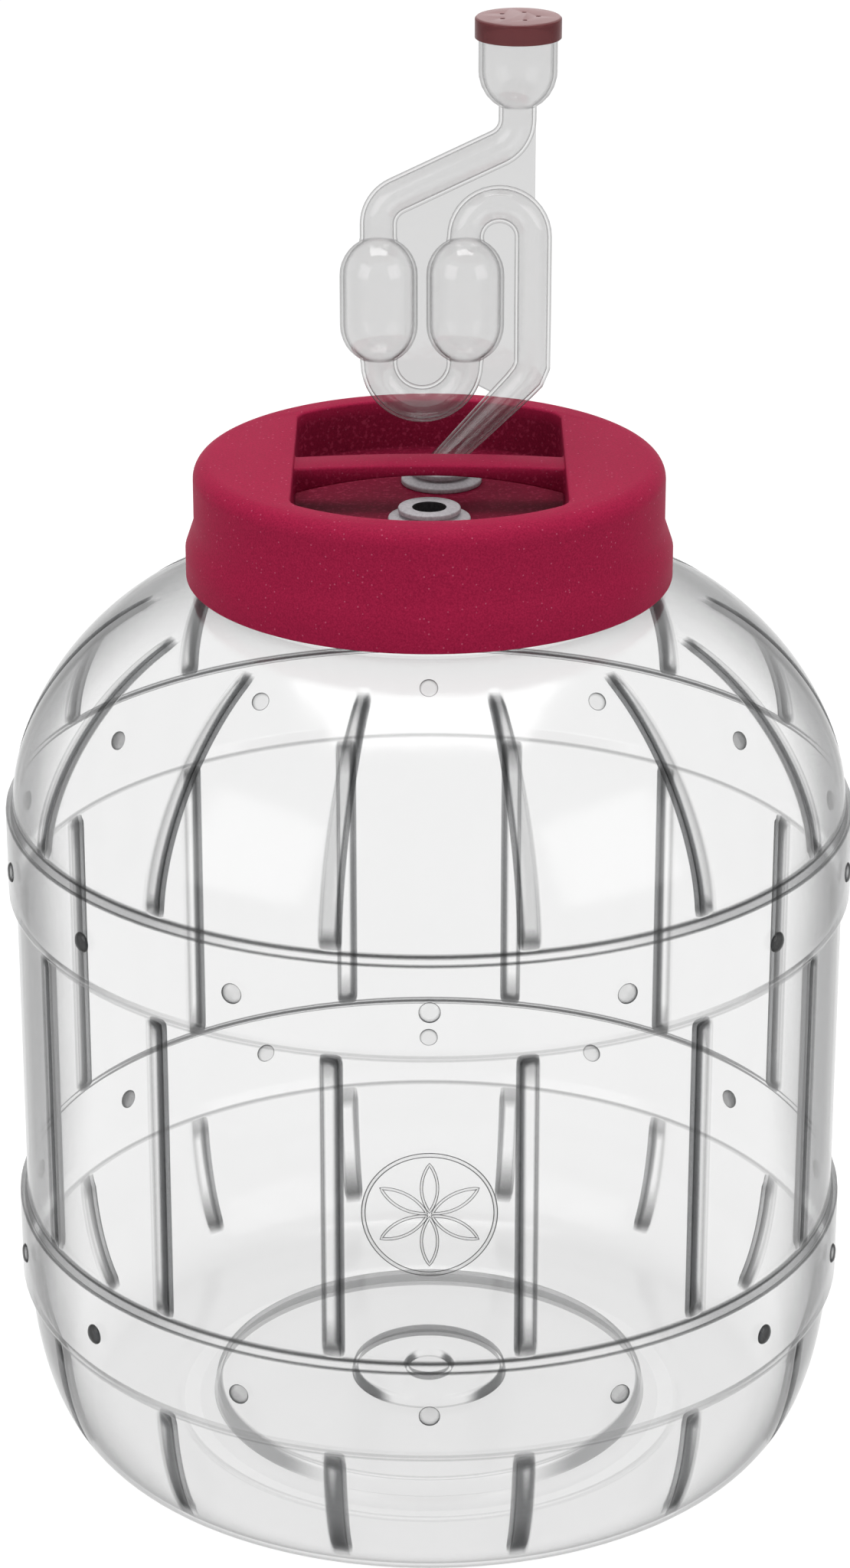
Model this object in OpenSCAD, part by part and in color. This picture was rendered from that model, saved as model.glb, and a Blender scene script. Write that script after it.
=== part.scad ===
// Barrel-shaped fermentation jar with a screw lid, two rubber ports and a bubbler airlock.
// Millimetres. Z is up, the front is -Y, and the origin is the middle of the foot ring.

/* [Jar] */
// Outer diameter of the barrel between its hoops
body_d = 227; // [200:1:250]
// Thickness of the blown wall
jar_wall = 1.2; // [1:0.1:2]
// How far each hoop stands out of the barrel
hoop_proud = 2.1; // [1:0.1:4]
// Height of each hoop
hoop_h = 28.6; // [16:0.2:36]
// Height of the lower hoop's bottom edge above the table
hoop_z = 44.3; // [36:0.1:60]
// Height of the barrel that shows between the hoops
hoop_gap = 87; // [50:1:140]
// Width of the sloping edge of a hoop
hoop_edge = 1.6; // [1:0.1:3]
// Number of staves
staves = 14; // [8:1:20]
// Width of the groove between two staves, at the barrel
groove_w = 4.6; // [2:0.1:6]
// Depth of the groove between two staves
groove_d = 1.4; // [0.6:0.1:1.8]
// Gap between a groove's end and the hoop
groove_end = 1.2; // [1.2:0.1:2]
// Radius from which the shoulder's grooves start
groove_top_r = 75; // [66:1:90]
// Radius at which the base's grooves end
groove_foot_r = 104.5; // [100:0.5:108]
// Diameter of a rivet head on a hoop
rivet_d = 5.6; // [3:0.1:9]
// Height of a rivet head
rivet_h = 0.9; // [0.4:0.1:2]

/* [Base] */
// Outer radius of the flat part of the base
base_r = 95; // [88:0.5:100]
// Height of the rounding between base and barrel
corner_h = 49; // [37:1:60]
// Outer radius of the foot ring
foot_r = 71.5; // [60:0.5:84]
// Width of the foot ring's flat
foot_w = 6; // [4:0.5:12]
// How far the foot ring stands below the base
foot_h = 1.2; // [0.6:0.1:3]
// Width of the foot ring's sloping sides
foot_side = 2; // [1:0.5:4]
// Height of the raised middle of the base
punt_h = 6; // [3:0.5:12]
// Width of the slope between the foot ring and the raised middle
punt_side = 12; // [6:0.5:16]
// Radius of the boss in the middle of the base
boss_r = 24; // [14:1:36]
// Height of that boss above the raised middle
boss_h = 3; // [1:0.5:6]
// Width of the boss's sloping side
boss_side = 4; // [2:0.5:6]
// Radius of the dimple in the boss
dimple_r = 10; // [5:0.5:12]
// Width of the dimple's sloping side
dimple_side = 3; // [1:0.5:4]
// Depth of the dimple
dimple_h = 2; // [0.5:0.5:3]

/* [Medallion] */
// Outer diameter of the round medallion on the front
medal_d = 35.2; // [20:0.2:60]
// How far the medallion's lines stand out
medal_h = 0.5; // [0.3:0.1:1]
// Width of the medallion's rim
medal_rim_w = 1.2; // [0.8:0.1:3]
// Number of petals in the rosette
medal_petals = 6; // [4:1:8]
// Gap between the petals and the rim
petal_gap = 2.4; // [1:0.1:4]
// Radius of a petal's sides, as a share of its length
petal_round = 0.9; // [0.7:0.05:1.2]

/* [Neck] */
// Radial gap between the neck and the lid's side wall, for the thread
thread_gap = 2.7; // [2:0.1:4]
// Thickness of the neck's wall
neck_wall = 1.9; // [1.4:0.1:2]
// Height of the shoulder above the upper hoop
shoulder_h = 59.6; // [40:0.2:80]
// Height of the upright band between the upper hoop and the shoulder
shoulder_land = 1; // [0.4:0.1:3]
// Roundness of the shoulder, where 2 is an ellipse
shoulder_n = 1.71; // [1.5:0.01:2.4]
// Height of the neck above the shoulder
neck_h = 31; // [28:0.5:40]

/* [Lid] */
// Outer diameter of the lid above its flare
lid_d = 125.8; // [112:0.2:140]
// How far the lid's flared skirt stands out on each side
flare_w = 2.3; // [1:0.1:5]
// Height of the skirt's straight part
skirt_h = 8.2; // [4:0.1:12]
// Height of the slope above it
flare_h = 6.8; // [3:0.1:10]
// Thickness of the lid's side wall
lid_wall = 2; // [1.4:0.1:2.3]
// Thickness of the lid's top wall
lid_top_wall = 2.2; // [1.6:0.1:4]
// Radius of the lid's rounded top edge
lid_edge_r = 5; // [2:0.1:6]
// Gap between the lid's skirt and the shoulder below it
skirt_gap = 2.9; // [1:0.1:6]
// Thickness of the gasket between the neck and the lid
gasket_t = 1.8; // [1:0.1:3]
// Radial clearance between the gasket and the lid
gasket_gap = 0.4; // [0.3:0.1:0.6]

/* [Recess and grip] */
// Radial gap between the recess's outer wall and the neck
pan_gap = 1.5; // [1:0.1:3]
// Width of the recess between its straight sides
recess_w = 72; // [60:1:80]
// Radius of the recess's corners
recess_corner_r = 9; // [5:0.5:14]
// Depth of the recess below the lid's top
recess_depth = 14; // [12:0.5:16]
// Thickness of the recess's walls
pan_wall = 1.8; // [1.2:0.1:2]
// Thickness of the recess's floor
floor_t = 2.5; // [1.5:0.1:3]
// Width of the grip bar
bar_w = 11; // [7:0.5:12]
// Thickness of the grip bar in the middle
bar_t = 3; // [2:0.1:3.4]
// How far the grip bar's top lies below the lid's top
bar_drop = 0.6; // [0.2:0.1:1.5]
// How much thicker the grip bar is at its ends
bar_arch = 4; // [1:0.1:5]
// How much lower the grip bar's top is at its ends
bar_crown = 1; // [0.4:0.1:2]

/* [Ports] */
// Distance from the lid's middle to the front port
port_y = 12; // [11.5:0.1:16]
// How far the rear port lies to the right of the lid's middle
rear_x = 3.3; // [-6:0.1:6]
// Distance of the rear port behind the lid's middle
rear_y = 22; // [18:0.1:26]
// Diameter of a grommet's flange on the floor
flange_d = 21.9; // [18:0.1:22.4]
// Height of that flange's edge
flange_h = 1.1; // [0.8:0.1:1.6]
// Diameter of a grommet's top ring
ring_d = 16.6; // [14.6:0.1:18]
// Height of the top ring
ring_h = 1.4; // [1.1:0.1:1.7]
// Depth of the groove below the top ring
ring_groove = 1; // [0.6:0.1:1.6]
// Diameter of a grommet where the floor holds it
grommet_neck_d = 13.6; // [12:0.1:15]
// Height of a grommet above the floor
grommet_top_h = 4.2; // [3.6:0.1:5]
// Height of a grommet's lip below the floor
grommet_lip_h = 3.4; // [2:0.1:5]
// Height of that lip's upright edge
lip_edge_h = 1.2; // [0.6:0.1:1.8]
// Rounding of a grommet's edges
grommet_edge = 0.5; // [0.2:0.1:0.6]
// Diameter of the free grommet's hole
port_d = 8.8; // [7.6:0.1:10]
// Radial clearance between the stem and the rear grommet
stem_fit = 0.05; // [0.05:0.05:0.2]

/* [Airlock] */
// Diameter of the airlock's stem
stem_d = 8.5; // [7:0.1:9]
// Diameter of the sloping tube where it leaves the stem's corner
slope_d = 7.2; // [6:0.1:8]
// Diameter of the stem's tip
stem_tip_d = 7.2; // [6:0.1:8]
// Length of the stem below its corner
stem_len = 25; // [18:0.5:32]
// Height of the stem's corner above its grommet
stem_rise = 1.3; // [1.2:0.1:4]
// Outer diameter of the airlock's tubes
tube_d = 10; // [9:0.1:11]
// Thickness of the airlock's walls
airlock_wall = 1.2; // [0.8:0.1:1.5]
// Outer diameter of each bubble
bulb_d = 21; // [18:0.1:22]
// Height of each bubble
bulb_h = 34.5; // [26:0.1:40]
// Distance between the two bubbles' axes
bulb_pitch = 23.1; // [22.6:0.1:26]
// Distance from the stem to the nearer bubble's axis
bulb_x = 6.3; // [5:0.1:11]
// Distance from the stem to the axis of the rising tube
riser_x = 24.3; // [23:0.1:30]
// Height of the rising tube's elbow above the stem's corner
elbow_z = 25.3; // [23:0.1:30]
// Height of the bubbles' middle above the stem's corner
bulb_z = 45.4; // [44:0.1:56]
// Height of the straight tube above the second bubble
leg_rise = 3.5; // [2:0.1:8]
// Height of the straight tube below the cup
cup_neck_h = 3.6; // [2:0.1:8]
// Distance from the stem to the cup's axis
cup_x = 19.9; // [18:0.1:26]
// Slope of the tube that leads to the cup, in degrees
slant = 25.5; // [20:0.5:32]
// Bend radius of that tube
bend_r = 8.6; // [7:0.1:11]
// Outer diameter of the cup
cup_d = 20.8; // [17:0.1:22]
// Height of the cup's straight part
cup_h = 13.3; // [9:0.1:20]
// Thickness of the flat web between the tubes
web_t = 1.6; // [1:0.1:2.4]
// Where the web ends on the lower sloping tube, as a share of that tube's length
slope_share = 0.71; // [0.6:0.01:0.9]

/* [Airlock cap] */
// Radial gap between the cup and its cap
cap_gap = 0.15; // [0.1:0.05:0.4]
// Thickness of the cap's wall
cap_wall = 0.85; // [0.6:0.05:1.5]
// Thickness of the cap's top
cap_top_t = 1.2; // [0.8:0.1:2]
// Bevel of the cap's top edge
cap_edge = 0.5; // [0.3:0.1:0.6]
// Height of the cap
cap_h = 5.6; // [4:0.1:9]
// Number of vent holes in the cap
vents = 5; // [3:1:8]
// Diameter of a vent hole
vent_d = 1.2; // [0.8:0.1:2]

/* [Hidden] */
$fn = 96;
cut = 0.5;                          // how far a cutting shape runs past what it cuts
corner_lap = 0.1;                   // how far a corner of the recess runs past its arcs and sides
curve_steps = 14;                   // straight stretches in each quarter of the barrel's profile

body_r = body_d / 2;
hoop_r = body_r + hoop_proud;
hoop2_z = hoop_z + hoop_h + hoop_gap;
shoulder_z = hoop2_z + hoop_h;
lid_r = lid_d / 2;
neck_r = lid_r - lid_wall - thread_gap;
neck_z = shoulder_z + shoulder_h;
rim_z = neck_z + neck_h;
stave_a = 360 / staves;
groove_a = 2 * asin(groove_w / body_d);
groove_back = 0.9;                  // how far the wall behind a groove reaches past its ends
groove_back_a = groove_a + 4 * asin(jar_wall / body_d);

skirt_r = lid_r + flare_w;
gasket_z = rim_z;
lid_under_z = gasket_z + gasket_t;
lid_z = lid_under_z + lid_top_wall;
skirt_z = neck_z + skirt_gap;
recess_r = neck_r - neck_wall - pan_gap - pan_wall;
floor_z = lid_z - recess_depth;
grommet_z = floor_z + grommet_top_h;
rear_hole_r = stem_d / 2 + stem_fit;

tube_r = tube_d / 2;
bulb_r = bulb_d / 2;
cup_r = cup_d / 2;
corner_z = grommet_z + stem_rise;
leg_x = bulb_x - bulb_pitch;
bulb_top = bulb_z + bulb_h / 2;
bulb_foot = bulb_z - bulb_h / 2;
turn = 90 - slant;
slant_len = (cup_x - leg_x - 2 * bend_r * (1 - cos(turn))) / cos(slant);
bulb_lap = 0.6;                     // how far the bends at a bubble's ends run into it
joint_inset = 0.1;                  // how much thinner a sloping tube is than its bends
web_lap = 3;                        // how far the web reaches into a tube beside it
web_inset = 0.2;                    // how far the web's free edge lies inside the cup's tube
leg_top = bulb_top + leg_rise;
neck_foot = leg_top + 2 * bend_r * sin(turn) + slant_len * sin(slant);
cup_foot = neck_foot + cup_neck_h + sqrt(pow(cup_r, 2) - pow(tube_r, 2));
cup_top = cup_foot + cup_h;
cap_r = cup_r + cap_gap + cap_wall;

// A quarter of a rounded curve, from (r0, z0) upright to (r1, z1) level
function quarter(r0, z0, r1, z1, n) =
    [for (i = [0:curve_steps])
        let (t = 90 * i / curve_steps)
        [r1 + (r0 - r1) * pow(max(cos(t), 0), 2 / n), z0 + (z1 - z0) * pow(sin(t), 2 / n)]];

function reversed(list) = [for (i = [len(list) - 1:-1:0]) list[i]];

// The barrel's side seen from one side, drawn in by inset, from the foot to the neck
function base_curve(inset) =
    reversed(quarter(body_r - inset, corner_h, base_r - inset / 2, foot_h + inset, 2));
function hoop_points(z, inset) =
    [[body_r - inset, z], [hoop_r - inset, z + hoop_edge],
     [hoop_r - inset, z + hoop_h - hoop_edge], [body_r - inset, z + hoop_h]];
function shoulder_curve(inset) =
    quarter(body_r - inset, shoulder_z + shoulder_land, neck_r - inset, neck_z - inset, shoulder_n);

// The base from its middle to the foot ring, raised by lift
function base_points(lift) =
    let (boss_z = punt_h + boss_h + lift, ring_r = foot_r - foot_w)
    [[0, boss_z - dimple_h], [dimple_r - dimple_side, boss_z - dimple_h],
     [dimple_r, boss_z], [boss_r - boss_side, boss_z], [boss_r, punt_h + lift],
     [ring_r - foot_side - punt_side, punt_h + lift], [ring_r - foot_side, foot_h + lift],
     [ring_r, lift], [foot_r, lift], [foot_r + foot_side, foot_h + lift]];

module barrel_outline() {
    polygon(concat(
        base_points(0),
        [for (p = base_curve(0)) if (p[1] < hoop_z) p], hoop_points(hoop_z, 0),
        hoop_points(hoop2_z, 0), shoulder_curve(0), [[neck_r, rim_z]],
        [[neck_r - neck_wall, rim_z], [neck_r - neck_wall, neck_z]],
        reversed(shoulder_curve(jar_wall)), reversed(hoop_points(hoop2_z, jar_wall)),
        reversed(hoop_points(hoop_z, jar_wall)),
        reversed([for (p = base_curve(jar_wall)) if (p[1] < hoop_z) p]),
        reversed(base_points(jar_wall))));
}

// One strip of a groove: what lies between two curves, outside radius r and from low to high
module groove_strip(outer, inner, r, low, high, angle) {
    rotate([0, 0, -angle / 2]) rotate_extrude(angle = angle) intersection() {
        polygon(concat(outer, reversed(inner)));
        translate([r, low]) square([hoop_r, high - low]);
    }
}

// All the grooves, from depth high to depth low, reaching past their ends by over
module grooves(high, low, over, angle) {
    gap = groove_end - over;
    mid = [hoop_z + hoop_h + gap, hoop2_z - gap];
    for (i = [0:staves - 1]) rotate([0, 0, -90 + (i + 0.5) * stave_a]) {
        groove_strip(base_curve(high), base_curve(low), groove_foot_r - over, 0, hoop_z - gap, angle);
        groove_strip([for (z = mid) [body_r - high, z]], [for (z = mid) [body_r - low, z]],
                     0, mid[0] - cut, mid[1] + cut, angle);
        groove_strip(concat([[body_r - high, shoulder_z]], shoulder_curve(high)),
                     concat([[body_r - low, shoulder_z]], shoulder_curve(low)),
                     groove_top_r - over, shoulder_z + gap, neck_z, angle);
    }
}

// A rivet head, standing out along X
module rivet() {
    rotate([0, 90, 0]) rotate_extrude()
        polygon([[0, -jar_wall / 2], [rivet_d / 2, -jar_wall / 2], [rivet_d / 2, rivet_h * 0.25],
                 [rivet_d * 0.38, rivet_h * 0.75], [rivet_d * 0.18, rivet_h], [0, rivet_h]]);
}

// The front medallion: a rim and a rosette of petals, standing out of the barrel
module medallion() {
    medal_r = medal_d / 2;
    petal_r = medal_r - medal_rim_w - petal_gap;
    mid_z = hoop_z + hoop_h + hoop_gap / 2;
    intersection() {
        difference() {
            translate([0, 0, mid_z - medal_r]) cylinder(r = body_r + medal_h, h = 2 * medal_r, $fn = 180);
            translate([0, 0, mid_z - medal_r - cut])
                cylinder(r = body_r - jar_wall / 2, h = 2 * (medal_r + cut), $fn = 180);
        }
        translate([0, 0, mid_z]) rotate([90, 0, 0]) linear_extrude(body_d) union() {
            difference() {
                circle(medal_r);
                circle(medal_r - medal_rim_w);
            }
            for (i = [0:medal_petals - 1]) rotate(i * 360 / medal_petals) petal(petal_r);
        }
    }
}

// A petal from the middle outwards: the overlap of two circles
module petal(length) {
    round_r = length * petal_round;
    offset_x = sqrt(pow(round_r, 2) - pow(length / 2, 2));
    intersection() {
        translate([-offset_x, length / 2]) circle(round_r);
        translate([offset_x, length / 2]) circle(round_r);
    }
}

module jar_body() {
    color([0.86, 0.88, 0.88, 0.35]) union() {
        difference() {
            union() {
                rotate_extrude($fn = 180) barrel_outline();
                grooves(jar_wall / 2, groove_d + jar_wall, groove_back, groove_back_a);
            }
            grooves(-cut, groove_d, 0, groove_a);
        }
        for (z = [hoop_z, hoop2_z], i = [0:staves - 1])
            rotate([0, 0, -90 + i * stave_a]) translate([hoop_r, 0, z + hoop_h / 2]) rivet();
        medallion();
    }
}

// The recess's outline grown by grow: two arcs, two straight sides and four round corners, which
// run a little past the arcs and the sides so that each curve crosses the next at a clear angle
module recess_outline(grow) {
    r = recess_r + grow;
    half_w = recess_w / 2 + grow;
    c = recess_corner_r + grow;
    corner_x = half_w - c;
    corner_y = sqrt(pow(r - c, 2) - pow(corner_x, 2));
    tangent_x = corner_x * r / (r - c);
    intersection() {
        circle(r, $fn = 180);
        square([2 * half_w, 2 * (r + cut)], center = true);
        union() {
            square([2 * tangent_x, 2 * (r + cut)], center = true);
            square([2 * (half_w + cut), 2 * corner_y], center = true);
            for (sx = [-1, 1], sy = [-1, 1])
                translate([sx * corner_x, sy * corner_y]) circle(c + corner_lap);
        }
    }
}

module lid_shell() {
    flare_z = skirt_z + skirt_h;
    top_z = flare_z + flare_h;
    inner_r = lid_r - lid_wall;
    difference() {
        rotate_extrude($fn = 180) union() {
            polygon([[0, skirt_z], [skirt_r, skirt_z], [skirt_r, flare_z], [lid_r, top_z],
                     [lid_r, lid_z - lid_edge_r], [lid_r - lid_edge_r, lid_z], [0, lid_z]]);
            translate([lid_r - lid_edge_r, lid_z - lid_edge_r]) circle(lid_edge_r);
        }
        rotate_extrude($fn = 180)
            polygon([[0, skirt_z - cut], [inner_r + flare_w, skirt_z - cut],
                     [inner_r + flare_w, flare_z - lid_wall / 3], [inner_r, top_z - lid_wall / 3],
                     [inner_r, lid_under_z], [0, lid_under_z]]);
    }
}

// The grip bar: arched above and below, from side to side of the recess
module grip_bar() {
    half = recess_w / 2;
    crown_r = (pow(half, 2) + pow(bar_crown, 2)) / (2 * bar_crown);
    arch = bar_arch + bar_crown;
    arch_r = (pow(half, 2) + pow(arch, 2)) / (2 * arch);
    top = lid_z - bar_drop;
    length = recess_w + pan_wall;
    translate([0, bar_w / 2, 0]) rotate([90, 0, 0]) linear_extrude(bar_w) difference() {
        intersection() {
            translate([-length / 2, top - bar_t - arch]) square([length, bar_t + arch]);
            translate([0, top - crown_r]) circle(crown_r, $fn = 360);
        }
        translate([0, top - bar_t - arch_r]) circle(arch_r, $fn = 360);
    }
}

module lid() {
    color([0.66, 0.14, 0.24]) difference() {
        union() {
            difference() {
                union() {
                    lid_shell();
                    translate([0, 0, floor_z - floor_t])
                        linear_extrude(recess_depth + floor_t - lid_top_wall / 2)
                            recess_outline(pan_wall);
                }
                translate([0, 0, floor_z]) linear_extrude(recess_depth + cut) recess_outline(0);
            }
            grip_bar();
        }
        for (at = [[0, -port_y], [rear_x, rear_y]])
            translate([at[0], at[1], floor_z - floor_t - cut])
                cylinder(d = grommet_neck_d, h = floor_t + 2 * cut);
    }
}

module lid_gasket() {
    outer_r = lid_r - lid_wall - gasket_gap;
    inner_r = recess_r + pan_wall + gasket_gap;
    color([0.9, 0.9, 0.88]) translate([0, 0, gasket_z]) difference() {
        cylinder(r = outer_r, h = gasket_t, $fn = 180);
        translate([0, 0, -cut]) cylinder(r = inner_r, h = gasket_t + 2 * cut, $fn = 180);
    }
}

// A rubber grommet with its middle at the floor's top, held by a ring above and a lip below
module grommet(hole_r) {
    neck = grommet_neck_d / 2;
    ring = ring_d / 2;
    flange = flange_d / 2;
    foot = -floor_t - grommet_lip_h;
    e = grommet_edge;
    top = grommet_top_h;
    rotate_extrude() polygon([
        [hole_r, foot], [neck - e, foot], [ring, -floor_t - lip_edge_h], [ring, -floor_t],
        [neck, -floor_t], [neck, 0], [flange - e, 0], [flange, e], [flange, flange_h],
        [flange - e, flange_h + e], [ring - ring_groove, top - ring_h - e],
        [ring - ring_groove, top - ring_h], [ring - e, top - ring_h], [ring, top - ring_h + e],
        [ring, top - e], [ring - e, top], [hole_r + e, top], [hole_r, top - e]]);
}

module grommet_front() {
    color([0.72, 0.72, 0.73]) translate([0, -port_y, floor_z]) grommet(port_d / 2);
}

module grommet_rear() {
    color([0.72, 0.72, 0.73]) translate([rear_x, rear_y, floor_z]) grommet(rear_hole_r);
}

// Pieces of the airlock's path, drawn in its own plane, X across and Y up
module up_tube(x, low, high, r) {
    translate([x, low, 0]) rotate([-90, 0, 0]) cylinder(r = r, h = high - low, $fn = 48);
}

// A bend that starts level with its centre and turns by sweep, mirrored across flip
module arc_tube(x, y, bend, flip, sweep, r) {
    translate([x, y, 0]) mirror(flip)
        rotate_extrude(angle = sweep) translate([bend, 0]) circle(r, $fn = 48);
}

module bulb(x, shrink) {
    r = bulb_r - shrink;
    straight = bulb_h + 2 * bulb_lap - 2 * bulb_r;
    translate([x, bulb_z, 0]) rotate([-90, 0, 0]) rotate_extrude($fn = 48) intersection() {
        union() {
            square([2 * r, straight], center = true);
            for (side = [-1, 1]) translate([0, side * straight / 2]) circle(r, $fn = 48);
        }
        translate([0, -bulb_h]) square([bulb_r, 2 * bulb_h]);
    }
}

// Everything the gas and water pass through, drawn in by shrink
module airlock_path(shrink) {
    r = tube_r - shrink;
    low_angle = atan2(elbow_z, riser_x);
    top_bend = (riser_x - bulb_x) / 2;
    low_bend = bulb_pitch / 2;
    stem_r = stem_d / 2 - shrink;
    tip_r = stem_tip_d / 2 - shrink;
    seat = stem_rise + grommet_top_h + floor_t + grommet_lip_h;
    lap = 0.5;                      // how far the slanting tube runs into its bends
    // stem with its tapered tip
    up_tube(0, -seat, 0, stem_r);
    translate([0, -stem_len, 0]) rotate([-90, 0, 0])
        cylinder(r1 = tip_r, r2 = stem_r, h = stem_len - seat, $fn = 48);
    sphere(stem_r, $fn = 48);
    // slanting tube to the elbow, then the riser
    rotate([0, 0, low_angle]) rotate([0, 90, 0])
        cylinder(r1 = slope_d / 2 - shrink, r2 = r - joint_inset, h = norm([riser_x, elbow_z]), $fn = 48);
    translate([riser_x, elbow_z, 0]) sphere(r, $fn = 48);
    up_tube(riser_x, elbow_z, bulb_top, r);
    // over the top, down through the first bubble, round and up through the second
    arc_tube(riser_x - top_bend, bulb_top, top_bend, [0, 0, 0], 180, r);
    arc_tube(bulb_x - low_bend, bulb_foot, low_bend, [0, 1, 0], 180, r);
    for (x = [bulb_x, leg_x]) {
        bulb(x, shrink);
        up_tube(x, bulb_foot, bulb_foot + tube_r, r);
    }
    up_tube(bulb_x, bulb_top - tube_r, bulb_top, r);
    // from the second bubble to the cup
    up_tube(leg_x, bulb_top - tube_r, leg_top, r);
    arc_tube(leg_x + bend_r, leg_top, bend_r, [1, 0, 0], turn, r);
    translate([leg_x + bend_r * (1 - cos(turn)), leg_top + bend_r * sin(turn), 0])
        rotate([0, 0, slant]) translate([-lap, 0, 0]) rotate([0, 90, 0])
            cylinder(r = r - joint_inset, h = slant_len + 2 * lap, $fn = 48);
    arc_tube(cup_x - bend_r, neck_foot, bend_r, [0, 1, 0], turn, r);
    up_tube(cup_x, neck_foot, cup_foot - cup_r / 2, r);
    translate([cup_x, cup_foot, 0]) sphere(cup_r - shrink, $fn = 64);
    up_tube(cup_x, cup_foot, cup_top, cup_r - shrink);
}

// The flat web between the tubes, which is where the two halves are welded
module airlock_web() {
    right = cup_x + tube_r - web_inset;
    low_x = bulb_x - bulb_pitch / 2;
    translate([0, 0, -web_t / 2]) linear_extrude(web_t) polygon([
        [leg_x, bulb_foot], [leg_x, leg_top + web_lap], [cup_x, neck_foot - web_lap],
        [right, neck_foot + web_lap], [right, bulb_top + 2 * web_lap], [riser_x, bulb_top],
        [riser_x, elbow_z], [riser_x * slope_share, elbow_z * slope_share],
        [bulb_x + web_lap, bulb_foot - 2 * web_lap], [low_x, bulb_foot - bulb_pitch / 2]]);
}

// Half of the airlock, in front of its plane for side 1 and behind it for side -1
module airlock_half(side) {
    span = 300;
    translate([rear_x, rear_y, corner_z]) rotate([90, 0, 0]) difference() {
        intersection() {
            union() {
                airlock_path(0);
                airlock_web();
            }
            translate([-span / 2, -span / 2, side > 0 ? 0 : -span]) cube(span);
        }
        airlock_path(airlock_wall);
        up_tube(0, -stem_len - cut, -stem_len + cut, stem_tip_d / 2 - airlock_wall);
        up_tube(cup_x, cup_top - cut, cup_top + cut, cup_r - airlock_wall);
    }
}

module airlock_front_half() {
    color([0.85, 0.86, 0.86, 0.6]) airlock_half(1);
}

module airlock_rear_half() {
    color([0.85, 0.86, 0.86, 0.6]) airlock_half(-1);
}

module airlock_cap() {
    color([0.5, 0.25, 0.26, 0.8])
        translate([rear_x + cup_x, rear_y, corner_z + cup_top + cap_top_t - cap_h]) difference() {
            rotate_extrude() polygon([[0, 0], [cap_r, 0], [cap_r, cap_h - cap_edge],
                                      [cap_r - cap_edge, cap_h], [0, cap_h]]);
            translate([0, 0, -cut]) cylinder(r = cup_r + cap_gap, h = cap_h - cap_top_t + cut);
            for (i = [0:vents - 1]) rotate([0, 0, i * 360 / vents]) translate([cup_r / 2, 0, 0])
                cylinder(d = vent_d, h = cap_h + cut, $fn = 24);
        }
}

jar_body();
lid();
lid_gasket();
grommet_front();
grommet_rear();
airlock_front_half();
airlock_rear_half();
airlock_cap();
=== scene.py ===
import math

import bpy
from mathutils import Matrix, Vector


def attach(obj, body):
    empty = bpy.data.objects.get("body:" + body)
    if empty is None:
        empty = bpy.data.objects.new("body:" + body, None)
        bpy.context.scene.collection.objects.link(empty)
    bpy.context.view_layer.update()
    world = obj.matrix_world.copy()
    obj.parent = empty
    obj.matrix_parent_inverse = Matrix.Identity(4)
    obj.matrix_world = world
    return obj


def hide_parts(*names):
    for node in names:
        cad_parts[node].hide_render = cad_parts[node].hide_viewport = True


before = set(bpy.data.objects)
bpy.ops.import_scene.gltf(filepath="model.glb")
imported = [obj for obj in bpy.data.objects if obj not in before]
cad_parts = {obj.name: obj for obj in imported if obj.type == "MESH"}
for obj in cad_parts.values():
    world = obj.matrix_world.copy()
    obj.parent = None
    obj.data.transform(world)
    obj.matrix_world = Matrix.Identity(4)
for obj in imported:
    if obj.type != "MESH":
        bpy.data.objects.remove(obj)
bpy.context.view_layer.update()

mm = 0.001
mergeReach = 1e-6  # in metres: points closer together than this are one point


# Small helpers

def deselect():
    if bpy.context.object and bpy.context.object.mode == "EDIT":
        bpy.ops.object.mode_set(mode="OBJECT")
    bpy.ops.object.select_all(action="DESELECT")


def makeActive(*pieces):
    deselect()
    for piece in pieces:
        piece.select_set(True)
    bpy.context.view_layer.objects.active = pieces[0]


def editMode(piece, kind="VERT"):
    makeActive(piece)
    bpy.context.tool_settings.mesh_select_mode = (kind == "VERT", kind == "EDGE", kind == "FACE")
    bpy.ops.object.mode_set(mode="EDIT")


# Turns every face outwards, and leaves edit mode
def faceOutwards():
    bpy.ops.mesh.select_all(action="SELECT")
    bpy.ops.mesh.normals_make_consistent(inside=False)
    bpy.ops.object.mode_set(mode="OBJECT")


def settle(piece):
    makeActive(piece)
    bpy.ops.object.transform_apply(location=True, rotation=True, scale=True)


def smooth(piece, angle=35):
    makeActive(piece)
    bpy.ops.object.shade_smooth_by_angle(angle=math.radians(angle))


def applyAll(piece):
    makeActive(piece)
    for modifier in list(piece.modifiers):
        bpy.ops.object.modifier_apply(modifier=modifier.name)


def join(name, pieces):
    makeActive(*pieces)
    bpy.ops.object.join()
    pieces[0].name = name
    pieces[0].data.name = name
    return pieces[0]


# A profile's corners are rounded: each point is (radius, height) or (radius, height, rounding) in mm
def softened(profile, steps=4):
    out = []
    for i, point in enumerate(profile):
        soft = point[2] if len(point) > 2 else 0
        here = Vector(point[:2])
        if not soft or i in (0, len(profile) - 1):
            out.append(tuple(here))
            continue
        before = here + (Vector(profile[i - 1][:2]) - here).normalized() * soft
        after = here + (Vector(profile[i + 1][:2]) - here).normalized() * soft
        for k in range(steps + 1):
            t = k / steps
            out.append(tuple((1 - t) ** 2 * before + 2 * t * (1 - t) * here + t * t * after))
    return out


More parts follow.
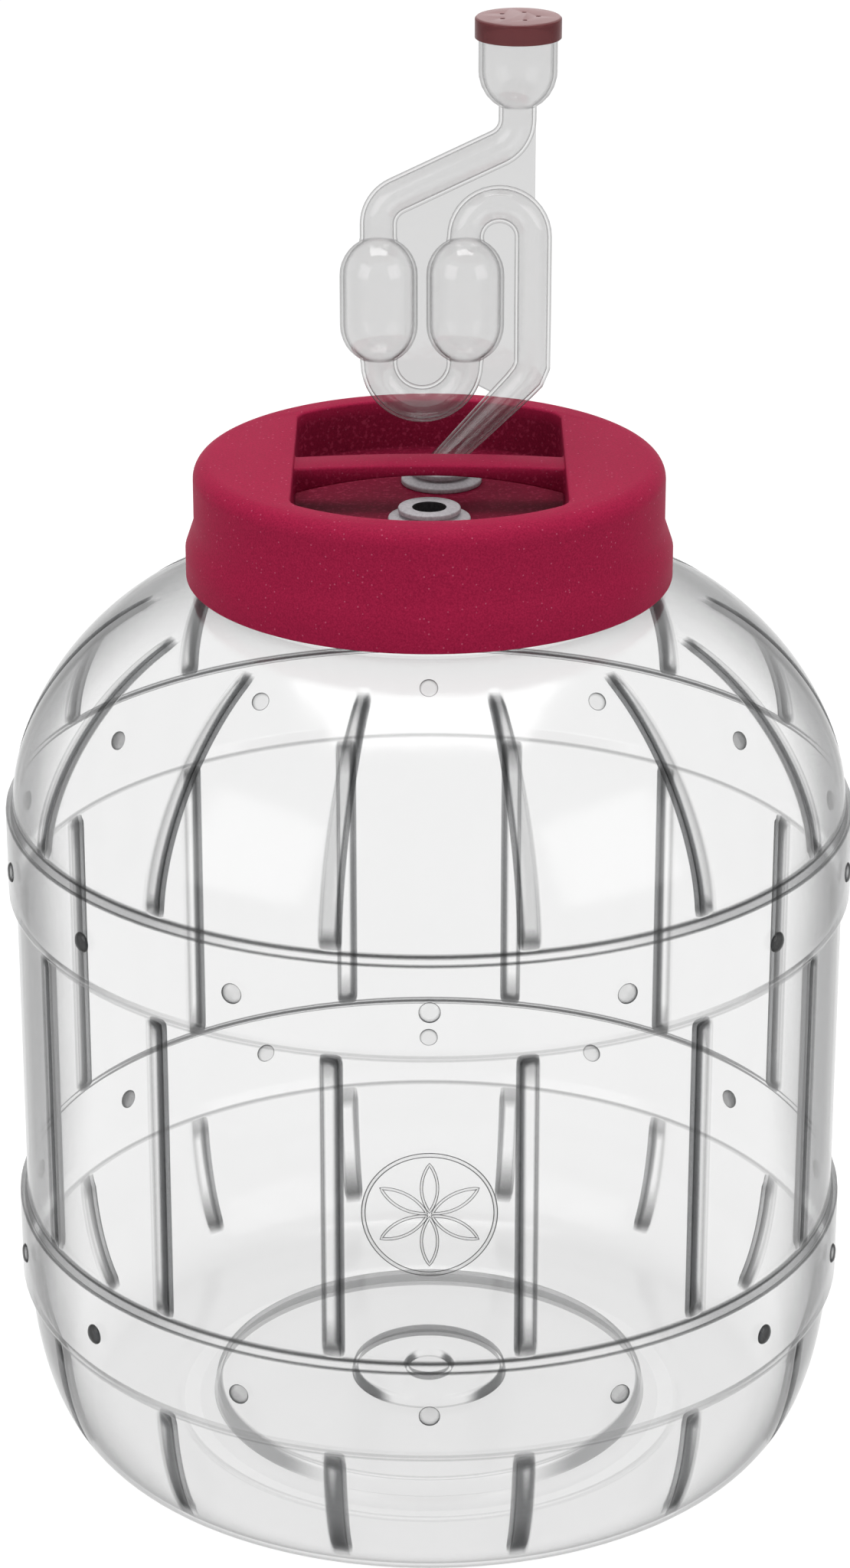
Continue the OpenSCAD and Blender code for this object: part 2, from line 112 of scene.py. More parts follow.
# A round shell: a circle extruded and scaled from one point of the profile to the next
def turnedShell(name, profile, columns, closeEnds=True):
    deselect()
    r, z = profile[0]
    bpy.ops.mesh.primitive_circle_add(vertices=columns, radius=r * mm, location=(0, 0, z * mm))
    piece = bpy.context.object
    piece.name = name
    settle(piece)
    editMode(piece)
    bpy.ops.mesh.select_all(action="SELECT")
    for nextR, nextZ in profile[1:]:
        bpy.ops.mesh.extrude_region_move(TRANSFORM_OT_translate={"value": (0, 0, (nextZ - z) * mm)})
        bpy.ops.transform.resize(value=(nextR / r, nextR / r, 1), center_override=(0, 0, nextZ * mm))
        r, z = nextR, nextZ
    if closeEnds:
        bpy.ops.mesh.select_all(action="SELECT")
        bpy.ops.mesh.remove_doubles(threshold=mergeReach)
        bpy.ops.mesh.select_non_manifold()
        bpy.ops.mesh.fill_holes(sides=0)
    faceOutwards()
    return piece


# A tube along a line of points (x, y, z, radius) in metres, where a radius counts in thicknesses
def tubeAlong(name, points, resolution, thickness=1.0, closed=False):
    curve = bpy.data.curves.new(name, "CURVE")
    curve.dimensions = "3D"
    curve.bevel_depth, curve.bevel_resolution, curve.use_fill_caps = thickness, resolution, not closed
    line = curve.splines.new("POLY")
    line.points.add(len(points) - 1)
    line.use_cyclic_u = closed
    for i, (x, y, z, radius) in enumerate(points):
        line.points[i].co = (x, y, z, 1)
        line.points[i].radius = radius
    piece = bpy.data.objects.new(name, curve)
    bpy.context.scene.collection.objects.link(piece)
    makeActive(piece)
    bpy.ops.object.convert(target="MESH")
    return bpy.context.object


# Materials

def hexColour(text):
    parts = [int(text[i:i + 2], 16) / 255 for i in (1, 3, 5)]
    return tuple(c / 12.92 if c <= 0.04045 else ((c + 0.055) / 1.055) ** 2.4 for c in parts) + (1,)


# Adds one node. A value that is another node's output is linked, and any other value is set
def addNode(material, kind, inputs=None, **settings):
    tree = material.node_tree
    node = tree.nodes.new(kind)
    for key, value in settings.items():
        setattr(node, key, value)
    for key, value in (inputs or {}).items():
        if isinstance(value, bpy.types.NodeSocket):
            tree.links.new(value, node.inputs[key])
        else:
            node.inputs[key].default_value = value
    return node


def newMaterial(name):
    material = bpy.data.materials.new(name)
    material.use_nodes = True
    material.node_tree.nodes.clear()
    return material


def finishMaterial(material, shader):
    addNode(material, "ShaderNodeOutputMaterial", {"Surface": shader})
    return material


def dress(piece, material):
    piece.data.materials.clear()
    piece.data.materials.append(material)


# What all clear plastics share. The painted fold shade begins to show at foldFrom and is darkest from foldTo on, from
# 0 face on to 1 edge on. Faces that point up beyond topFrom are a flat top, fully so from topTo on. The
# higher grazingPower is, the nearer to its edge a surface begins to mirror
clearShared = {"foldFrom": 0.12, "foldTo": 0.28, "topFrom": 0.6, "topTo": 0.9, "grazingPower": 5.0}


# Clear plastic seen against a white room: hardly tinted face on, and dark where the surface turns away.
# Where the wall is folded, painted shade darkens it at a small angle already, and a crease is painted grey from
# all sides, in place of the dark that refraction gives. The thick base lies on the bright table, so its steep sides
# darken less (calm)
def clearPlastic(name, look):
    material = newMaterial(name)
    facing = addNode(material, "ShaderNodeLayerWeight", {"Blend": 0.5}).outputs["Facing"]
    turned = addNode(material, "ShaderNodeMapRange", {
        "Value": facing, "From Min": look["edgeFrom"], "From Max": look.get("edgeTo", 1.0)})
    edge = addNode(material, "ShaderNodeMath", {0: turned.outputs[0], 1: look["edgePower"]}, operation="POWER")
    if look.get("foldShade"):
        calm = addNode(material, "ShaderNodeAttribute", attribute_name="calm")
        kept = addNode(material, "ShaderNodeMath", {0: 1.0, 1: calm.outputs["Fac"]}, operation="SUBTRACT")
        edge = addNode(material, "ShaderNodeMath", {0: edge.outputs[0], 1: kept.outputs[0]}, operation="MULTIPLY")
    place = addNode(material, "ShaderNodeTexCoord").outputs["Object"]
    waves = addNode(material, "ShaderNodeTexNoise", {
        "Vector": place, "Scale": 1 / (look["waveSize"] * mm), "Detail": 2.0})
    ripple = addNode(material, "ShaderNodeBump", {
        "Height": waves.outputs[0], "Strength": look["wave"], "Distance": 1 * mm})
    tint = addNode(material, "ShaderNodeMix", {
        0: edge.outputs[0], 6: hexColour(look["tint"]), 7: hexColour(look["edge"])}, data_type="RGBA")
    # painted shade: folds darken and creases turn grey, in place of the dark that refraction gives in the clear wall
    if look.get("foldShade"):
        foldShade = addNode(material, "ShaderNodeAttribute", attribute_name="foldShade")
        creaseShade = addNode(material, "ShaderNodeAttribute", attribute_name="creaseShade")
        slope = addNode(material, "ShaderNodeMapRange", {
            "Value": facing, "From Min": clearShared["foldFrom"], "From Max": clearShared["foldTo"]},
            interpolation_type="SMOOTHSTEP")
        dark = addNode(material, "ShaderNodeMath", {0: foldShade.outputs["Fac"], 1: slope.outputs[0]}, operation="MULTIPLY")
        foldShaded = addNode(material, "ShaderNodeMix", {
            0: dark.outputs[0], 6: tint.outputs[2], 7: hexColour(look["foldShade"])}, data_type="RGBA")
        tint = addNode(material, "ShaderNodeMix", {
            0: creaseShade.outputs["Fac"], 6: foldShaded.outputs[2], 7: hexColour(look["creaseShade"])}, data_type="RGBA")
    if look.get("seam"):
        # the two halves are welded in one plane, and the weld and the web beside it are cloudier
        middle, reach, colour = look["seam"]
        spot = addNode(material, "ShaderNodeSeparateXYZ", {"Vector": place})
        weld = addNode(material, "ShaderNodeMath", {
            0: spot.outputs[1], 1: middle * mm, 2: reach * mm}, operation="COMPARE")
        tint = addNode(material, "ShaderNodeMix", {
            0: weld.outputs[0], 6: tint.outputs[2], 7: hexColour(colour)}, data_type="RGBA", blend_type="MULTIPLY")
    through = addNode(material, "ShaderNodeBsdfTransparent", {"Color": tint.outputs[2]})
    mirror = addNode(material, "ShaderNodeBsdfGlossy", {
        "Color": (1, 1, 1, 1), "Roughness": look["roughness"], "Normal": ripple.outputs[0]})
    # the share that a smooth surface mirrors grows towards its edge, alike on both sides of a thin wall
    head = ((look["ior"] - 1) / (look["ior"] + 1)) ** 2
    grazing = addNode(material, "ShaderNodeMath", {0: facing, 1: clearShared["grazingPower"]}, operation="POWER")
    share = addNode(material, "ShaderNodeMapRange", {
        "Value": grazing.outputs[0], "To Min": head * look["mirror"], "To Max": look["mirror"]})
    both = addNode(material, "ShaderNodeMixShader", {0: share.outputs[0], 1: through.outputs[0], 2: mirror.outputs[0]})
    if look.get("haze"):
        colour = hexColour(look["hazeColour"])
        if look.get("paleTop"):
            # painted paler: faces that point up get a paler haze colour than the rim
            normal = addNode(material, "ShaderNodeNewGeometry").outputs["Normal"]
            upwards = addNode(material, "ShaderNodeSeparateXYZ", {"Vector": normal})
            facesUp = addNode(material, "ShaderNodeMapRange", {
                "Value": upwards.outputs[2], "From Min": clearShared["topFrom"], "From Max": clearShared["topTo"]})
            colour = addNode(material, "ShaderNodeMix", {
                0: facesUp.outputs[0], 6: colour, 7: hexColour(look["paleTop"])}, data_type="RGBA").outputs[2]
        film = addNode(material, "ShaderNodeBsdfDiffuse", {"Color": colour})
        both = addNode(material, "ShaderNodeMixShader", {0: look["haze"], 1: both.outputs[0], 2: film.outputs[0]})
    return finishMaterial(material, both.outputs[0])


# Blow-moulded PET, very clear, with faint waves in the wall that move its highlights, and painted grey shade in its
# folds and creases
clearPet = clearPlastic("clearPet", {
    "tint": "#F8F8F8", "edge": "#4A4C4E", "edgeFrom": 0.5, "edgePower": 1.7, "foldShade": "#868788", "creaseShade": "#525354",
    "waveSize": 22, "wave": 0.25, "roughness": 0.16, "ior": 1.45, "mirror": 0.9})
# The same PET in small raised forms, whose rounded sides bend the light at once and so look dark
raisedPet = clearPlastic("raisedPet", {
    "tint": "#FAFAFA", "edge": "#3C3E40", "edgeFrom": 0.14, "edgeTo": 0.5, "edgePower": 1.2,
    "waveSize": 5, "wave": 0.1, "roughness": 0.08, "ior": 1.45, "mirror": 0.8})
# Injection-moulded polystyrene, a little greyer and glossier than the jar
clearStyrene = clearPlastic("clearStyrene", {
    "tint": "#F4F4F4", "edge": "#484848", "edgeFrom": 0.5, "edgePower": 1.4,
    "waveSize": 6, "wave": 0.15, "roughness": 0.08, "ior": 1.5, "mirror": 0.9,
    "haze": 0.04, "hazeColour": "#CFCDCD", "seam": (22, 0.85, "#F4F4F4")})
# Moulded polystyrene in smoky red, half see-through: dark around the rim and paler on the flat top
capPlastic = clearPlastic("smokyRedStyrene", {
    "tint": "#B89090", "edge": "#5A2426", "edgeFrom": 0.1, "edgePower": 1.2,
    "waveSize": 6, "wave": 0.1, "roughness": 0.15, "ior": 1.5, "mirror": 0.8,
    "haze": 0.5, "hazeColour": "#7E3A3E", "paleTop": "#C09A9A"})

# What all moulded plastics and rubbers share: the contrast of the grain, how far the clouds and the
# gloss vary, how large and how rare a fleck is, and where the coarse grit of a recess shows
mouldedShared = {"grainFrom": 0.35, "grainTo": 0.65, "clouds": 0.06, "gloss": 0.08,
                 "fleckFrom": 0.24, "fleckTo": 0.12, "fleckRare": 0.8, "gritFrom": 0.56, "gritTo": 0.68}


# Matte moulded plastic: a speckled grain that scatters the light
def mouldedPlastic(name, look):
    material = newMaterial(name)
    place = addNode(material, "ShaderNodeTexCoord").outputs["Object"]
    grain = addNode(material, "ShaderNodeTexNoise", {
        "Vector": place, "Scale": 1 / (look["grainSize"] * mm), "Detail": 3.0, "Roughness": 0.7})
    broad = addNode(material, "ShaderNodeTexNoise", {
        "Vector": place, "Scale": 1 / (look["cloudSize"] * mm), "Detail": 2.0})
    fine = addNode(material, "ShaderNodeMapRange", {
        "Value": grain.outputs[0], "From Min": mouldedShared["grainFrom"], "From Max": mouldedShared["grainTo"]})
    colour = addNode(material, "ShaderNodeMix", {
        0: fine.outputs[0], 6: hexColour(look["dark"]), 7: hexColour(look["light"])}, data_type="RGBA")
    clouds = addNode(material, "ShaderNodeMapRange", {
        "Value": broad.outputs[0], "To Min": 1 - mouldedShared["clouds"], "To Max": 1 + mouldedShared["clouds"]})
    shade = addNode(material, "ShaderNodeMix", {
        0: 1.0, 6: colour.outputs[2], 7: clouds.outputs[0]}, data_type="RGBA", blend_type="MULTIPLY")
    if look.get("fleck"):
        # sparse pale flecks where the grain catches the light
        cells = addNode(material, "ShaderNodeTexVoronoi", {"Vector": place, "Scale": 1 / (look["fleckSpacing"] * mm)})
        near = addNode(material, "ShaderNodeMapRange", {
            "Value": cells.outputs["Distance"],
            "From Min": mouldedShared["fleckFrom"], "From Max": mouldedShared["fleckTo"]})
        some = addNode(material, "ShaderNodeSeparateColor", {"Color": cells.outputs["Color"]})
        kept = addNode(material, "ShaderNodeMath", {
            0: some.outputs[0], 1: mouldedShared["fleckRare"]}, operation="GREATER_THAN")
        fleck = addNode(material, "ShaderNodeMath", {0: near.outputs[0], 1: kept.outputs[0]}, operation="MULTIPLY")
        shade = addNode(material, "ShaderNodeMix", {
            0: fleck.outputs[0], 6: shade.outputs[2], 7: hexColour(look["fleck"])}, data_type="RGBA")
    if look.get("recessShade"):
        # painted shade: the deep recess in the middle sees little light, so its colour is darkened there
        radius, top, floor, share = look["recessShade"]
        spot = addNode(material, "ShaderNodeSeparateXYZ", {"Vector": place})
        flat = addNode(material, "ShaderNodeCombineXYZ", {"X": spot.outputs[0], "Y": spot.outputs[1]})
        away = addNode(material, "ShaderNodeVectorMath", {0: flat.outputs[0]}, operation="LENGTH")
        inside = addNode(material, "ShaderNodeMath", {0: away.outputs["Value"], 1: radius * mm}, operation="LESS_THAN")
        deep = addNode(material, "ShaderNodeMapRange", {
            "Value": spot.outputs[2], "From Min": top * mm, "From Max": floor * mm})
        both = addNode(material, "ShaderNodeMath", {0: inside.outputs[0], 1: deep.outputs[0]}, operation="MULTIPLY")
        paintedRecessShade = addNode(material, "ShaderNodeMapRange", {"Value": both.outputs[0], "To Min": 1.0, "To Max": share})
        shade = addNode(material, "ShaderNodeMix", {
            0: 1.0, 6: shade.outputs[2], 7: paintedRecessShade.outputs[0]}, data_type="RGBA", blend_type="MULTIPLY")
        grit = addNode(material, "ShaderNodeTexNoise", {
            "Vector": place, "Scale": 1 / (look["gritSize"] * mm), "Detail": 1.0})
        high = addNode(material, "ShaderNodeMapRange", {
            "Value": grit.outputs[0], "From Min": mouldedShared["gritFrom"], "From Max": mouldedShared["gritTo"]})
        bright = addNode(material, "ShaderNodeMath", {0: high.outputs[0], 1: both.outputs[0]}, operation="MULTIPLY")
        shade = addNode(material, "ShaderNodeMix", {
            0: bright.outputs[0], 6: shade.outputs[2], 7: hexColour(look["grit"])}, data_type="RGBA")
    low, high = look["roughness"] - mouldedShared["gloss"], look["roughness"] + mouldedShared["gloss"]
    rough = addNode(material, "ShaderNodeMapRange", {"Value": grain.outputs[0], "To Min": low, "To Max": high})
    bump = addNode(material, "ShaderNodeBump", {
        "Height": grain.outputs[0], "Strength": look["grain"], "Distance": look["grainDepth"] * mm})
    shader = addNode(material, "ShaderNodeBsdfPrincipled", {
        "Base Color": shade.outputs[2], "Roughness": rough.outputs[0], "Normal": bump.outputs[0], "IOR": look["ior"],
        "Specular IOR Level": look.get("specular", 0.5)})
    return finishMaterial(material, shader.outputs[0])


# Polypropylene from a spark-eroded mould: a fine matte grain, drawn as coarse as about 0.5 mm so that it shows
# its middle recess is painted darker, as shade
crimsonPlastic = mouldedPlastic("crimsonPolypropylene", {
    "dark": "#8E173A", "light": "#A82146", "grainSize": 0.5, "cloudSize": 30,
    "fleck": "#B44E69", "fleckSpacing": 1.2, "recessShade": (54.5, 282.9, 279, 0.55), "gritSize": 1.1, "grit": "#8E2843",
    "grain": 0.35, "grainDepth": 0.1, "roughness": 0.55, "ior": 1.45, "specular": 0.05})
# Moulded natural rubber, satin grey
greyRubber = mouldedPlastic("greyRubber", {
    "dark": "#A29FA3", "light": "#BBB8BB", "grainSize": 0.8, "cloudSize": 8,
    "grain": 0.2, "grainDepth": 0.05, "roughness": 0.5, "ior": 1.52})
# The same rubber inside its hole, painted dark as shade, since next to no light comes in
boreShadeRubber = mouldedPlastic("boreShadeRubber", {
    "dark": "#1C1A1C", "light": "#2A282A", "grainSize": 0.8, "cloudSize": 8,
    "grain": 0.2, "grainDepth": 0.05, "roughness": 0.7, "ior": 1.52, "specular": 0.1})
# Foamed polyethylene seal, off-white and quite dull from its fine cells
sealFoam = mouldedPlastic("sealFoam", {
    "dark": "#D8D8D4", "light": "#EDEDEA", "grainSize": 0.6, "cloudSize": 12,
    "grain": 0.4, "grainDepth": 0.1, "roughness": 0.7, "ior": 1.45})
print("materials done")


# Jar

jar = {
    "body": 113.5, "wall": 1.2, "corner": 49, "neck": 58.2, "neckFoot": 248.1, "rim": 279.1,
    "base": 95, "baseZ": 1.2, "baseHole": 0.31,
    # the base from its middle outwards: (radius, height, rounding)
    "baseRows": [(0.3, 7), (6.6, 7, 0.5), (7.2, 9, 0.5), (20.6, 9, 0.5), (21.2, 6, 0.5), (60.2, 6, 0.7),
                 (61, 1.2, 0.7), (65.5, 0, 0.7), (71.5, 0, 0.7), (73.5, 1.2, 0.8), (84, 1.2)],
    # what lies within this radius and height is base, and its slopes (from, to, share) get painted fold shade
    "baseReach": 75, "baseTop": 12, "baseCalm": 0.8,
    "baseSlopes": [(6.5, 7.3, 0.85), (20.5, 21.3, 0.85), (59.9, 61.2, 0.45)],
    "cornerGap": 1.2, "cornerSteps": 26,  # the round corner ends this far below the lower hoop
    "barrelLeads": (0.9, 2.2, 4), "barrelSteps": 8, "hoopLead": 0.8,  # distances of the rows from the hoops
    "shoulderGap": 1, "shoulderRound": 1.71, "shoulderSteps": 40,
    "neckStep": 0.001,  # keeps the shoulder's last row off the neck's first
    "neckRows": (250, 262), "rimInset": 0.4, "rimDrop": 0.6,
    "hoopFoot": 44.3, "hoopHeight": 28.6, "hoopGap": 87, "hoopProud": 2.1, "hoopEdge": 1.6, "hoopSlope": 3.0,
    "hoopRounds": (0.6, 0.8, 0.7, 0.5),  # the rounding of a hoop's corners, from its foot up
    # how much painted fold shade a hoop's upper edge gets, how much painted crease shade its lines get, and how far in
    # mm each mark reaches
    "edgeShade": 0.35, "edgeBelow": 0.3, "edgeAbove": 0.1,
    "lineShade": 0.75, "topReach": 0.28, "lineReach": 0.3, "footShade": 0.3, "footReach": 0.25,
    # columns are counted for one stave. Those from a groove's middle outwards are (place in half widths,
    # depth, painted fold shade, painted crease shade), and past grooveField half widths the wall is plain. A groove is
    # painted grey as a crease over the last grooveTip mm before its ends, on fewer than tipColumns columns to each
    # side
    "staves": 14, "columns": 16, "grooveWidth": 5.2, "grooveDepth": 1.4, "grooveField": 1.5,
    "groove": [(0, 1.0, 1.0, 0), (0.55, 0.95, 1.0, 0), (0.78, 0.5, 0.8, 0.28), (1.0, 0.05, 0.4, 0.1), (1.25, 0, 0, 0)],
    "grooveTip": 6, "tipColumns": 3, "grooveTop": 75, "grooveFoot": 104.5, "fadeFrom": 0.4, "fadeOver": 1.4,
    "shoulderFrom": 189, "shoulderGroove": 0.16, "cornerGroove": 0.75}


def quarterCurve(r0, z0, r1, z1, power, steps):
    points = []
    for i in range(steps + 1):
        a = math.radians(90 * i / steps)
        r = r1 + (r0 - r1) * max(math.cos(a), 0) ** (2 / power)
        points.append((r, z0 + (z1 - z0) * math.sin(a) ** (2 / power)))
    return points


def hoopRows(foot):
    proud, high = jar["body"] + jar["hoopProud"], jar["hoopHeight"]
    outline = [(jar["body"], foot), (proud, foot + jar["hoopSlope"]),
               (proud, foot + high - jar["hoopEdge"]), (jar["body"], foot + high)]
    return [(r, z, rounding) for (r, z), rounding in zip(outline, jar["hoopRounds"])]


# The barrel's profile from the middle of its base to the rim, with a row wherever the wall bends
def jarRows():
    body, neck, rim = jar["body"], jar["neck"], jar["rim"]
    lowFoot, midFoot = jar["hoopFoot"], jar["hoopFoot"] + jar["hoopHeight"]
    midTop = midFoot + jar["hoopGap"]
    shoulderFoot = midTop + jar["hoopHeight"] + jar["shoulderGap"]
    corner = quarterCurve(body, jar["corner"], jar["base"], jar["baseZ"], power=2, steps=jar["cornerSteps"])
    corner = [p for p in reversed(corner) if p[1] < lowFoot - jar["cornerGap"]]
    barrel = [(body, midFoot + d) for d in jar["barrelLeads"]]
    barrel += [(body, midFoot + jar["hoopGap"] * k / jar["barrelSteps"]) for k in range(1, jar["barrelSteps"])]
    barrel += [(body, midTop - d) for d in reversed(jar["barrelLeads"])]
    shoulder = quarterCurve(body, shoulderFoot, neck - jar["neckStep"], jar["neckFoot"],
                            power=jar["shoulderRound"], steps=jar["shoulderSteps"])
    throat = [(neck, z) for z in jar["neckRows"]] + [(neck, rim - jar["rimDrop"]), (neck - jar["rimInset"], rim)]
    return softened(jar["baseRows"] + corner + [(body, lowFoot - jar["hoopLead"])] + hoopRows(lowFoot)
                    + barrel + hoopRows(midTop) + shoulder + throat, steps=3)


# How far in mm a place on the wall lies from the nearest end of a groove
def grooveRoom(r, z):
    lowTop = jar["hoopFoot"]
    midFoot, midTop = lowTop + jar["hoopHeight"], lowTop + jar["hoopHeight"] + jar["hoopGap"]
    highFoot = midTop + jar["hoopHeight"]
    if z < lowTop:
        room = min(lowTop - z, r - jar["grooveFoot"])
    elif midFoot < z < midTop:
        room = min(z - midFoot, midTop - z)
    elif z > highFoot:
        room = min(z - highFoot, r - jar["grooveTop"])
    else:
        room = 0
    return room


# How much painted fold shade the wall gets at a height by a hoop's upper edge, and how much painted crease shade at
# its lines
def hoopMarks(z):
    foldShade = creaseShade = 0
    for foot in (jar["hoopFoot"], jar["hoopFoot"] + jar["hoopHeight"] + jar["hoopGap"]):
        top = foot + jar["hoopHeight"]
        if top - jar["hoopEdge"] - jar["edgeBelow"] < z < top + jar["edgeAbove"]:
            foldShade = jar["edgeShade"]
        if abs(z - top) < jar["topReach"] or abs(z - top + jar["hoopEdge"]) < jar["lineReach"]:
            creaseShade = jar["lineShade"]
        if abs(z - foot) < jar["footReach"]:
            creaseShade = jar["footShade"]
    return foldShade, creaseShade


# The columns beside a groove close up on it, and the groove's own columns sink. The attributes note
# for the material how much painted fold and crease shade the wall gets at each place, and how calm it looks
def cutGrooves(piece):
    groove, columns = jar["groove"], jar["columns"]
    stave = 2 * math.pi / jar["staves"]
    half = jar["grooveWidth"] / 2 / jar["body"]
    field = half * jar["grooveField"]
    last = len(groove) - 1
    notes = {title: [0.0] * len(piece.data.vertices) for title in ("foldShade", "creaseShade", "calm")}
    for vertex in piece.data.vertices:
        r, z = vertex.co.xy.length, vertex.co.z
        if r < jar["baseReach"] * mm and z < jar["baseTop"] * mm:
            notes["calm"][vertex.index] = jar["baseCalm"]
            for inner, outer, amount in jar["baseSlopes"]:
                if inner < r / mm < outer:
                    notes["foldShade"][vertex.index] = amount
            continue
        around = math.atan2(vertex.co.y, vertex.co.x) + math.pi / 2 - stave / 2
        turns = round(around / stave)
        column = round((around - turns * stave) / stave * columns)
        size = abs(column)
        if size <= last:
            place, depth, foldShade, creaseShade = groove[size]
            away = half * place
        else:
            depth = foldShade = creaseShade = 0
            away = field + (stave / 2 - field) * (size - last) / (columns / 2 - last)
        angle = turns * stave + math.copysign(away, column) - math.pi / 2 + stave / 2
        room = grooveRoom(r / mm, z / mm)
        share = min(max((room - jar["fadeFrom"]) / jar["fadeOver"], 0), 1)  # a groove fades at both ends
        # above shoulderFrom the grooves get painted crease shade all along
        least = jar["shoulderGroove"] if z > jar["shoulderFrom"] * mm else 0  # creased all along there
        tip = max(1 - room / jar["grooveTip"], least) * share if size < jar["tipColumns"] else 0
        sink = jar["grooveDepth"] * mm * depth * share
        if z < jar["hoopFoot"] * mm:
            share *= jar["cornerGroove"]
        edgeShade, lineShade = hoopMarks(z / mm)
        notes["foldShade"][vertex.index] = max(foldShade * share, edgeShade)
        notes["creaseShade"][vertex.index] = max(creaseShade * share, tip, lineShade)
        vertex.co.x, vertex.co.y = (r - sink) * math.cos(angle), (r - sink) * math.sin(angle)
    for title, values in notes.items():
        piece.data.attributes.new(title, "FLOAT", "POINT").data.foreach_set("value", values)


# Fills the small hole in the middle of the base
def closeBase(piece):
    editMode(piece, "EDGE")
    bpy.ops.mesh.select_all(action="DESELECT")
    bpy.ops.object.mode_set(mode="OBJECT")
    for edge in piece.data.edges:
        ends = [piece.data.vertices[i].co for i in edge.vertices]
        edge.select = all(end.xy.length < jar["baseHole"] * mm for end in ends)
    bpy.ops.object.mode_set(mode="EDIT")
    bpy.ops.mesh.edge_face_add()
    faceOutwards()


def buildJar():
    piece = turnedShell("jarBarrel", jarRows(), jar["staves"] * jar["columns"], closeEnds=False)
    cutGrooves(piece)
    closeBase(piece)
    wall = piece.modifiers.new("wall", "SOLIDIFY")
    wall.thickness, wall.offset, wall.use_even_offset = jar["wall"] * mm, -1, True
    applyAll(piece)
    smooth(piece, angle=50)
    return piece


barrel = buildJar()
dress(barrel, clearPet)
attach(barrel, "jar")
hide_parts("jar_body")


# Rivets: one head is turned upright, laid down along X, and copied around both hoops

rivet = {"profile": [(2.8, -0.3), (2.8, 0.05, 0.2), (2.2, 0.6, 0.4), (1.3, 0.86, 0.4), (0.05, 0.9)], "columns": 28}


def buildRivets():
    first = turnedShell("rivet", softened(rivet["profile"], steps=3), rivet["columns"])
    makeActive(first)
    # with no window this turns the other way, so the head points outwards along X
    bpy.ops.transform.rotate(value=math.radians(-90), orient_axis="Y", center_override=(0, 0, 0))
    settle(first)
    reach = (jar["body"] + jar["hoopProud"]) * mm
    heads = []
    for foot in (jar["hoopFoot"], jar["hoopFoot"] + jar["hoopHeight"] + jar["hoopGap"]):
        for i in range(jar["staves"]):
            copy = first.copy()
            copy.data = first.data.copy()
            bpy.context.scene.collection.objects.link(copy)
            copy.rotation_euler.z = -math.pi / 2 + i * 2 * math.pi / jar["staves"]
            turn = copy.rotation_euler.z
            copy.location = (reach * math.cos(turn), reach * math.sin(turn), (foot + jar["hoopHeight"] / 2) * mm)
            heads.append(copy)
    bpy.data.objects.remove(first)
    piece = join("jarRivets", heads)
    settle(piece)
    smooth(piece, angle=50)
    return piece


rivets = buildRivets()
dress(rivets, raisedPet)
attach(rivets, "jar")


# Medallion: a round rim with a rosette, in thin raised lines

medallion = {"middle": 116.4, "radius": 17.0, "rimSteps": 96, "line": 0.6, "lineResolution": 3,
             "petals": 6, "petalLength": 13.6, "petalLine": 0.42, "petalRound": 0.9, "petalGap": 0.8, "petalSteps": 8}


# A closed raised line on the barrel, through points (around, up) in mm from the medallion's middle
def raisedLine(name, points, width):
    line = []
    for around, up in points:
        angle = around / jar["body"] - math.pi / 2
        x, y = jar["body"] * mm * math.cos(angle), jar["body"] * mm * math.sin(angle)
        line.append((x, y, (medallion["middle"] + up) * mm, 1))
    return tubeAlong(name, line, medallion["lineResolution"], thickness=width * mm, closed=True)


def buildMedallion():
    angles = [2 * math.pi * t / medallion["rimSteps"] for t in range(medallion["rimSteps"])]
    rim = [(medallion["radius"] * math.cos(a), medallion["radius"] * math.sin(a)) for a in angles]
    lines = [raisedLine("medallionRim", rim, medallion["line"])]
    # a petal is two bows of one circle that meet at their ends
    length, half = medallion["petalLength"], medallion["petalSteps"]
    bow = length * medallion["petalRound"]
    back = math.sqrt(bow ** 2 - (length / 2) ** 2)
    reach = math.asin(length / 2 / bow)
    leans = [reach * (k / half - 1) for k in range(2 * half + 1)]
    side = [(bow * math.cos(lean) - back, length / 2 + bow * math.sin(lean)) for lean in leans]
    petal = side + [(-x, y) for x, y in reversed(side[1:-1])]
    petal = [(x, y + medallion["petalGap"]) for x, y in petal]
    for i in range(medallion["petals"]):
        turn = i * 2 * math.pi / medallion["petals"]
        turned = [(x * math.cos(turn) + y * math.sin(turn), y * math.cos(turn) - x * math.sin(turn)) for x, y in petal]
        lines.append(raisedLine("petal", turned, medallion["petalLine"]))
    piece = join("jarMedallion", lines)
    smooth(piece, angle=60)
    return piece


badge = buildMedallion()
dress(badge, raisedPet)
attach(badge, "jar")


# Screw threads: a half-round ridge that climbs around the neck, and its partner inside the lid

thread = {"pitch": 7.2, "turns": 1.25, "foot": 258.5, "neckRadius": 58.1, "neckRidge": 1.1,
          "lidRadius": 61.0, "lidRidge": 1.1, "stepsPerTurn": 96, "taperSteps": 8, "tipShare": 0.3, "resolution": 4}


def buildThread(name, radius, ridge, foot):
    steps = int(thread["turns"] * thread["stepsPerTurn"])
    points = []
    for i in range(steps + 1):
        turn = i / thread["stepsPerTurn"]
        taper = min(1, i / thread["taperSteps"], (steps - i) / thread["taperSteps"])
        angle = turn * 2 * math.pi
        x, y = radius * mm * math.cos(angle), radius * mm * math.sin(angle)
        thick = ridge * mm * (thread["tipShare"] + (1 - thread["tipShare"]) * taper)
        points.append((x, y, (foot + turn * thread["pitch"]) * mm, thick))
    piece = tubeAlong(name, points, thread["resolution"])
    smooth(piece, angle=60)
    return piece


